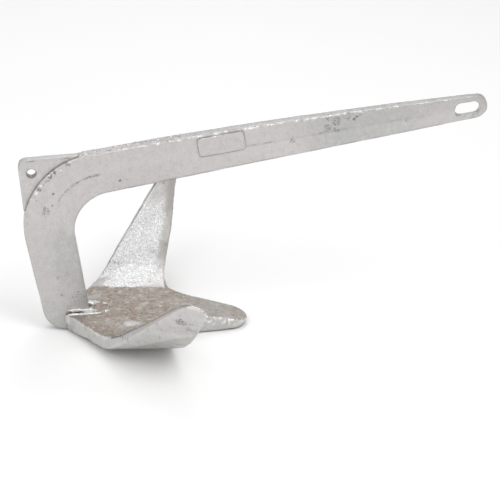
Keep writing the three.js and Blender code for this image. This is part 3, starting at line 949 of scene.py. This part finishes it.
def mark_inner_faces(skin, rows, scoured):
    """The inner faces of the side flukes sparkle, but for a smooth strip along their front edges."""
    x, y, z = skin.points.T
    normals = skin.normals()
    from_front = np.interp(np.abs(y), rows[:, 4], rows[:, 3]) - x
    strip = smoothstep(*STRIP_WIDTH, from_front + 1.2 * field(skin.points, 12, 48))
    strip *= smoothstep(*STRIP_START, z)
    facing_in = smoothstep(0.05, 0.18, -normals[:, 1] * np.sign(y)) * smoothstep(*SPARKLE_START, z)
    facing_in *= (1 - scoured) * smoothstep(-0.75, -0.5, normals[:, 0])
    skin.layers["strip"] = strip * smoothstep(0.1, 0.35, normals[:, 2])
    place = (np.abs(y) > SPARKLE_FROM_Y) * smoothstep(*SPARKLE_END, z)
    skin.layers["inner"] = facing_in * (1 - strip) * place


def line_claw_edges(skin, rows):
    """A painted dark line of shade on each side fluke's upper rear edge; a painted highlight on the palm's
    lip and on the tips.
    """
    x, y, z = skin.points.T
    folded = (x, np.abs(y), z)
    lip_start, line_start = int(LIP_START * STEPS), int(EDGE_LINE_START * STEPS)
    gap = nearest(folded, rows[line_start:, 0:3])
    lip = nearest(folded, rows[lip_start:line_start, 0:3])
    glint = nearest(folded, catmull_rom(TIP_GLINT, STEPS))
    broken = 0.55 + 0.45 * skin.patchy(12, 49, -0.2, 0.2)
    right = np.where(y < 0, 1.0, 0.0)  # the right fluke's line is wider and unbroken
    skin.deepen("painted_shade", smoothstep(2.0 + right, 0.9 + right, gap) * np.maximum(broken, right))
    skin.layers["painted_highlight"] *= 1 - smoothstep(3.0, 1.8, gap)
    skin.deepen("painted_highlight", 0.8 * smoothstep(2.2, 1.0, lip) * broken)
    skin.deepen("painted_highlight", 0.8 * smoothstep(2.0, 0.9, glint))


def mark_centre_fluke(skin):
    """A painted highlight on the rim of the centre fluke's upper face, and painted shade on its sides."""
    x, y, z = skin.points.T
    facing_up = skin.normals()[:, 2]
    half_widths = np.array(CENTRE_STATIONS)[:, 0:2].T
    rim = np.abs(np.abs(y) - np.interp(x, *half_widths))
    rim_highlight = smoothstep(3.0, 1.0, rim) * smoothstep(*RIM_HIGHLIGHT_START, x) * smoothstep(0.0, 0.3, facing_up)
    skin.deepen("painted_highlight", 0.8 * rim_highlight * skin.patchy(3.5, 50, -0.1, 0.2))
    sides = smoothstep(*SHADED_SIDES_START, x) * smoothstep(*SHADED_SIDES_TOP, z)
    skin.deepen("painted_face_shade", sides * smoothstep(0.5, 0.1, facing_up))


def mark_claw_shade_and_dross(skin, scoured, ragged):
    """Painted shade on the rear faces, and dross in a few places."""
    facing_back = smoothstep(-0.5, -0.8, skin.normals()[:, 0])
    skin.deepen("painted_face_shade", 0.55 * facing_back * smoothstep(*SHADED_REAR_END, np.abs(skin.points[:, 1])))
    skin.layers["dross"] = 0.42 * skin.patchy(11, 46, 0.28, 0.5) * (1 - 0.6 * scoured)
    skin.deepen("dross", skin.spots(CLAW_DROSS, ragged, axes=(0, 1, 2)))


def build_claw(material):
    halves = [loft("claw_half", claw_rings(side)) for side in (1, -1)]
    beads = [lumpy_tube("heel_bead", heel_bead(side), HEEL_BEAD_RADIUS, side) for side in (1, -1)]
    claw = join("claw", [*halves, loft("centre", centre_rings()), *beads])
    skin = casting_skin(claw, voxel=1.15, rounding=4, waviness=0.42, lumps=0.16, seed=41)
    rows = catmull_rom([(*rear, *front) for rear, front, _ in CLAW_STATIONS], STEPS)
    ragged = field(skin.points, 4, 47)
    scoured = mark_palm(skin, ragged)
    mark_inner_faces(skin, rows, scoured)
    line_claw_edges(skin, rows)
    mark_centre_fluke(skin)
    mark_claw_shade_and_dross(skin, scoured, ragged)
    nodes = ["palm", "centre_fluke", "side_fluke_left", "side_fluke_right"]
    return finish_piece(claw, skin, nodes, material)


# ---- Materials ----


class Nodes:
    """Short names for building a node tree."""

    def __init__(self, name):
        self.material = bpy.data.materials.new(name)
        self.material.use_nodes = True
        self.tree = self.material.node_tree
        self.tree.nodes.clear()
        self.place = self.add("ShaderNodeTexCoord").outputs["Object"]

    def add(self, kind, **values):
        node = self.tree.nodes.new(kind)
        for key, value in values.items():
            setattr(node, key, value)
        return node

    def link(self, source, target):
        if isinstance(source, bpy.types.NodeSocket):
            self.tree.links.new(source, target)
        else:
            target.default_value = source

    def noise(self, per_metre, detail=3.0, rough=0.55, distortion=0.0):
        node = self.add("ShaderNodeTexNoise")
        self.link(self.place, node.inputs["Vector"])
        node.inputs["Scale"].default_value = per_metre
        node.inputs["Detail"].default_value = detail
        node.inputs["Roughness"].default_value = rough
        node.inputs["Distortion"].default_value = distortion
        return node.outputs["Fac"]

    def ramp(self, value, low, high, to_low=0.0, to_high=1.0):
        node = self.add("ShaderNodeMapRange")
        node.interpolation_type = "SMOOTHSTEP"
        items = {"Value": value, "From Min": low, "From Max": high, "To Min": to_low, "To Max": to_high}
        for key, item in items.items():
            self.link(item, node.inputs[key])
        return node.outputs["Result"]

    def maths(self, operation, a, b):
        node = self.add("ShaderNodeMath", operation=operation)
        self.link(a, node.inputs[0])
        self.link(b, node.inputs[1])
        return node.outputs[0]

    def mix(self, share, a, b):
        node = self.add("ShaderNodeMix", data_type="RGBA")
        self.link(share, node.inputs["Factor"])
        self.link(a, node.inputs["A"])
        self.link(b, node.inputs["B"])
        return node.outputs["Result"]

    def attribute(self, name):
        return self.add("ShaderNodeAttribute", attribute_name=name).outputs["Fac"]


def grey(value, warmth=0.0):
    """A linear grey; positive warmth leans it to brown."""
    return (value * (1 + warmth), value, value * (1 - 1.4 * warmth), 1.0)


EARTH_BROWN = (0.35, 0.265, 0.22, 1)
RUST_BROWN = (0.35, 0.225, 0.175, 1)
PIT_BROWN = (0.16, 0.11, 0.09, 1)
FLOOR_SHADES = ((0.97, 0.97, 0.97, 1), (0.99, 0.99, 0.99, 1))
METALLIC = 0.72
BUMP_DEPTH = 0.0012
INNER_GRAIN = 0.5  # extra bump on the side flukes' inner faces and on the bright edges


def zinc_colour(n, base, mottle, fine):
    """Mottled grey, a little pinkish in some stretches and greenish in others."""
    tone = n.maths("ADD", n.attribute("tone"), n.maths("MULTIPLY", n.noise(26, 4, 0.6, 0.4), 0.8))
    grit = n.noise(1100, 2, 0.8)
    pinkish = (base * 1.07, base * 1.025, base * 1.01, 1.0)
    greenish = (base * 0.90, base * 0.90, base * 0.87, 1.0)
    colour = n.mix(n.ramp(tone, 0.3, 1.5), greenish, pinkish)
    colour = n.mix(n.ramp(mottle, 0.48, 0.74, 0.0, 0.45), colour, grey(base * 1.18, -0.012))
    colour = n.mix(n.ramp(mottle, 0.46, 0.26, 0.0, 0.35), colour, grey(base * 0.74, 0.02))
    colour = n.mix(n.ramp(fine, 0.48, 0.30, 0.0, 0.40), colour, grey(base * 0.60, 0.02))
    return n.mix(n.ramp(grit, 0.56, 0.72, 0.0, 0.30), colour, grey(min(1.0, base * 1.45)))


def scour(n, colour, base, stain, mottle):
    """The scoured palm: stained brown, earthy and bare in patches, with pale and dark specks."""
    scoured = n.attribute("scoured")
    cleaner = n.ramp(n.noise(70, 4, 0.65, 0.5), 0.42, 0.62)
    coats = [
        (n.ramp(mottle, 0.34, 0.60, 1.0, 0.86), n.mix(cleaner, stain, grey(1.25 * stain[1], 0.07))),
        (n.ramp(n.noise(110, 5, 0.75), 0.47, 0.62, 0.0, 0.75), EARTH_BROWN),
        (n.ramp(n.noise(38, 4, 0.6, 0.6), 0.62, 0.70, 0.0, 0.6), grey(base * 0.95)),
    ]
    for share, coat in coats:
        colour = n.mix(n.maths("MULTIPLY", scoured, share), colour, coat)
    rust = n.maths("MULTIPLY", n.attribute("rust"), n.ramp(n.noise(230, 5, 0.75), 0.44, 0.58))
    colour = n.mix(n.maths("MULTIPLY", rust, 0.9), colour, RUST_BROWN)
    specks = [
        (n.ramp(n.noise(170, 4, 0.75, 0.5), 0.53, 0.62, 0.0, 0.8), grey(base * 0.98, 0.05)),
        (n.ramp(n.noise(230, 4, 0.85), 0.54, 0.63, 0.0, 0.75), PIT_BROWN),
    ]
    for share, speck in specks:
        colour = n.mix(n.maths("MULTIPLY", scoured, share), colour, speck)
    return colour


def vary_faces(n, colour, base):
    """Painted sparkle on the inner faces, their smooth front strips painted darker as shade, and painted
    shade on faces turned down and away.
    """
    # Painted sparkle: bright specks in the colour of the side flukes' inner faces.
    sparkle = n.mix(n.ramp(n.noise(560, 3, 0.75), 0.40, 0.60), grey(0.60), grey(0.95, -0.01))
    colour = n.mix(n.maths("MULTIPLY", n.attribute("inner"), 0.75), colour, sparkle)
    # The front strips are smooth and warm grey, and painted darker as shade.
    colour = n.mix(n.maths("MULTIPLY", n.attribute("strip"), 0.8), colour, grey(0.43, 0.045))
    # Painted shade on faces turned down and away.
    face_shade_colour = (base * 0.78, base * 0.76, base * 0.69, 1.0)
    return n.mix(n.maths("MULTIPLY", n.attribute("painted_face_shade"), 0.6), colour, face_shade_colour)


def dirty(n, colour, base, fine):
    """Smudges, pits of dross, stray dark specks and the parting line."""
    dross = n.attribute("dross")
    ragged = n.maths("ADD", dross, n.maths("MULTIPLY", n.noise(430, 5, 0.8), 1.1))
    pits = n.maths("MULTIPLY", n.ramp(ragged, 0.92, 1.1), n.ramp(dross, 0.02, 0.2))
    stray = n.ramp(n.noise(240, 3, 0.8), 0.69, 0.76, 0.0, 0.6)
    smudge = n.ramp(n.noise(60, 5, 0.7, 1.2), 0.56, 0.68, 0.0, 0.16)
    colour = n.mix(smudge, colour, grey(base * 0.55, 0.02))
    dark = n.maths("MAXIMUM", n.maths("MULTIPLY", pits, 0.75), stray)
    colour = n.mix(dark, colour, grey(base * 0.26, 0.05))
    seam = n.maths("MULTIPLY", n.attribute("seam"), n.ramp(fine, 0.38, 0.56, 0.25, 1.0))
    return n.mix(seam, colour, grey(base * 0.30, 0.03))


def zinc_roughness(n, gloss, mottle, glint):
    rough = n.ramp(mottle, 0.3, 0.7, gloss + 0.16, gloss)
    rough = n.maths("ADD", rough, n.maths("MULTIPLY", n.attribute("scoured"), 0.16))
    rough = n.maths("SUBTRACT", rough, n.maths("MULTIPLY", glint, 0.16))
    return n.maths("SUBTRACT", rough, n.maths("MULTIPLY", n.attribute("inner"), 0.12))


def zinc_bump(n, grain, glint):
    coarse = n.maths("MULTIPLY", n.noise(300, 4, 0.65), 0.6)
    fine = n.maths("MULTIPLY", n.noise(850, 3, 0.7), 0.4)
    bump = n.add("ShaderNodeBump")
    rougher = n.maths("MULTIPLY", n.maths("MAXIMUM", n.attribute("inner"), glint), INNER_GRAIN)
    n.link(n.maths("ADD", rougher, grain), bump.inputs["Strength"])
    bump.inputs["Distance"].default_value = BUMP_DEPTH
    n.link(n.maths("ADD", coarse, fine), bump.inputs["Height"])
    return bump.outputs["Normal"]


def galvanised(name, base, stain, grain, gloss):
    """Hot-dip zinc: mottled grey, dark dross, painted shade in the hollows, painted highlights on the
    edges, fine grain.
    """
    n = Nodes(name)
    mottle = n.noise(150, 4, 0.68, 0.3)
    fine = n.noise(520, 3, 0.7)
    colour = zinc_colour(n, base, mottle, fine)
    colour = scour(n, colour, base, stain, mottle)
    colour = vary_faces(n, colour, base)
    colour = dirty(n, colour, base, fine)
    # Painted highlight: edges, lips and glints mixed toward white.
    glint = n.maths("MULTIPLY", n.attribute("painted_highlight"), n.ramp(mottle, 0.40, 0.56, 0.1, 1.0))
    colour = n.mix(glint, colour, grey(1.0))
    # Painted shade: inner corners, edge lines and shaded faces mixed toward dark grey.
    painted_shade = n.maths("MULTIPLY", n.attribute("painted_shade"), 0.85)
    colour = n.mix(painted_shade, colour, grey(base * 0.26, 0.03))
    shader = n.add("ShaderNodeBsdfPrincipled")
    n.link(colour, shader.inputs["Base Color"])
    n.link(zinc_roughness(n, gloss, mottle, glint), shader.inputs["Roughness"])
    shader.inputs["Metallic"].default_value = METALLIC
    n.link(zinc_bump(n, grain, glint), shader.inputs["Normal"])
    n.link(shader.outputs[0], n.add("ShaderNodeOutputMaterial").inputs["Surface"])
    return n.material


def floor_paint():
    n = Nodes("floor_paint")
    shader = n.add("ShaderNodeBsdfPrincipled")
    n.link(n.mix(n.noise(3), *FLOOR_SHADES), shader.inputs["Base Color"])
    shader.inputs["Roughness"].default_value = 0.8
    n.link(shader.outputs[0], n.add("ShaderNodeOutputMaterial").inputs["Surface"])
    return n.material


# ---- Stage, lights, camera: in metres ----

CAMERA_TARGET = Vector((0.0003, 0.0053, 0.0868))
CAMERA_DISTANCE = 2.85
CAMERA_AZIMUTH = math.radians(-7.67)
CAMERA_ELEVATION = math.radians(24.21)
CAMERA_ROLL = math.radians(1.63)
LENS = 180.0
WORLD_STRENGTH = 0.71
FLOOR_HALF = 12.0
FLOOR_GAP = 0.0005


def direction(azimuth, elevation):
    """The way from the object to a point at this bearing; azimuth 0 is the right-hand side."""
    flat = math.cos(elevation)
    return Vector((math.sin(azimuth) * flat, -math.cos(azimuth) * flat, math.sin(elevation)))


def build_camera():
    data = bpy.data.cameras.new("camera")
    data.lens = LENS
    data.sensor_width = 36.0
    data.clip_end = 50.0
    camera = bpy.data.objects.new("camera", data)
    bpy.context.scene.collection.objects.link(camera)
    back = direction(CAMERA_AZIMUTH, CAMERA_ELEVATION)
    camera.location = CAMERA_TARGET + back * CAMERA_DISTANCE
    camera.rotation_mode = "QUATERNION"
    facing = (-back).to_track_quat("-Z", "Y")
    camera.rotation_quaternion = facing @ Matrix.Rotation(CAMERA_ROLL, 3, "Z").to_quaternion()
    bpy.context.scene.camera = camera


def area_light(name, azimuth, elevation, distance, size, power):
    data = bpy.data.lights.new(name, "AREA")
    data.shape = "DISK"
    data.size = size
    data.energy = power
    light = bpy.data.objects.new(name, data)
    bpy.context.scene.collection.objects.link(light)
    way = direction(math.radians(azimuth), math.radians(elevation))
    light.location = CAMERA_TARGET + way * distance
    light.rotation_mode = "QUATERNION"
    light.rotation_quaternion = way.to_track_quat("Z", "Y")


def build_stage():
    z = cad_low.z - FLOOR_GAP
    corners = [(x * FLOOR_HALF, y * FLOOR_HALF, z) for x, y in ((-1, -1), (1, -1), (1, 1), (-1, 1))]
    floor = new_object("floor", corners, [(0, 1, 2, 3)])
    floor.data.materials.append(floor_paint())
    world = bpy.data.worlds.new("studio")
    world.use_nodes = True
    background = world.node_tree.nodes["Background"]
    background.inputs["Color"].default_value = (1, 1, 1, 1)
    background.inputs["Strength"].default_value = WORLD_STRENGTH
    bpy.context.scene.world = world
    area_light("key", azimuth=178, elevation=49, distance=1.8, size=0.8, power=4.2)
    area_light("fill", azimuth=-40, elevation=40, distance=2.2, size=1.6, power=9)
    area_light("side", azimuth=32, elevation=58, distance=1.8, size=1.0, power=8)
    bpy.context.scene.view_settings.view_transform = "Standard"


# ---- Assembly ----

shank_zinc = galvanised("shank_zinc", 0.555, grey(0.40, 0.06), grain=0.5, gloss=0.3)
claw_zinc = galvanised("claw_zinc", 0.585, grey(0.28, 0.11), grain=0.4, gloss=0.3)
bead_zinc = galvanised("bead_zinc", 0.70, grey(0.40, 0.06), grain=0.3, gloss=0.2)

build_shank(shank_zinc)
build_web(shank_zinc)
build_plate(shank_zinc)
build_claw(claw_zinc)
for side in (1, -1):
    build_bead(side, bead_zinc)
build_stage()
build_camera()
